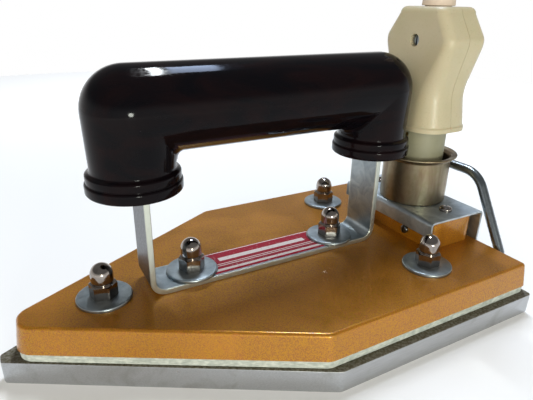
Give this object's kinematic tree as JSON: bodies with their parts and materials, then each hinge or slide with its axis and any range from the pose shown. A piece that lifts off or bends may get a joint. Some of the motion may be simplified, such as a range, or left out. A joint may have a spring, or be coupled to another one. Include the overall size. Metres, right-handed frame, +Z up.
{
  "type": "dry iron",
  "caption": "Heavy dry iron: pointed sole plate, painted cover, round bar handle on a strap, terminal box with shrouded pins, pull-off connector and wire heel rest.",
  "frame": {"origin": "On the working face of the sole plate, on the centre line, 111.5 mm ahead of the cover's heel face", "axes": "+X from the toe to the heel, +Y across to the far side, +Z up from the working face to the handle"},
  "size_m": [0.2398, 0.14, 0.1523],
  "materials": {
    "polished_iron": "ground and polished iron",
    "cast_iron": "rough cast",
    "hammer_paint": "gold hammer paint on pressed steel",
    "zinc": "bright zinc plate",
    "bright_nickel": "polished nickel plate",
    "dull_nickel": "aged nickel plate",
    "steel": "plated steel rod",
    "brass": "turned brass",
    "bakelite": "polished black moulding",
    "cream_moulding": "semi-matt cream moulding",
    "ceramic": "unglazed grey ceramic",
    "fibre_board": "pressed fibre board",
    "mica": "built-up mica sheet",
    "label": "printed foil label",
    "bush_rubber": "pale rubber"
  },
  "bodies": {
    "iron": {"sole_plate": "polished_iron", "gasket_frame": "fibre_board", "mica_lower": "mica", "heating_element": "mica", "mica_upper": "mica", "weight_plate": "cast_iron", "insulating_sheet": "fibre_board", "cover": "hammer_paint", "stud_front": "steel", "washer_front": "zinc", "dome_nut_front": "bright_nickel", "stud_rear_near": "steel", "washer_rear_near": "zinc", "dome_nut_rear_near": "bright_nickel", "stud_rear_far": "steel", "washer_rear_far": "zinc", "dome_nut_rear_far": "bright_nickel", "strap_stud_front": "steel", "strap_washer_front": "zinc", "strap_dome_nut_front": "bright_nickel", "strap_stud_rear": "steel", "strap_washer_rear": "zinc", "strap_dome_nut_rear": "bright_nickel", "handle_strap": "zinc", "label_plate": "label", "handle": "bakelite", "handle_screw_front": "steel", "handle_screw_rear": "steel", "handle_insert_front": "brass", "handle_insert_rear": "brass", "terminal_box": "hammer_paint", "terminal_cap": "zinc", "inlet_insulator": "ceramic", "inlet_disc": "ceramic", "shroud": "dull_nickel", "cap_screw_near": "bright_nickel", "cap_screw_far": "bright_nickel", "pin_near": "brass", "pin_far": "brass", "pin_nut_near": "brass", "pin_nut_far": "brass", "lead_near": "dull_nickel", "lead_far": "dull_nickel", "earth_screw": "steel", "earth_nut": "steel", "heel_rest": "steel"},
    "connector": {"connector_shell_front": "cream_moulding", "connector_shell_rear": "cream_moulding", "connector_sleeve": "ceramic", "contact_tube_near": "brass", "contact_tube_far": "brass", "earth_spring_front": "brass", "earth_spring_rear": "brass", "connector_screw": "steel", "connector_nut": "steel", "cord_bush": "bush_rubber"}
  },
  "joints": [
    {"name": "connector_pull", "type": "slide", "parent": "iron", "child": "connector", "axis": [0, 0, 1], "range_m": [0, 0.035]}
  ]
}
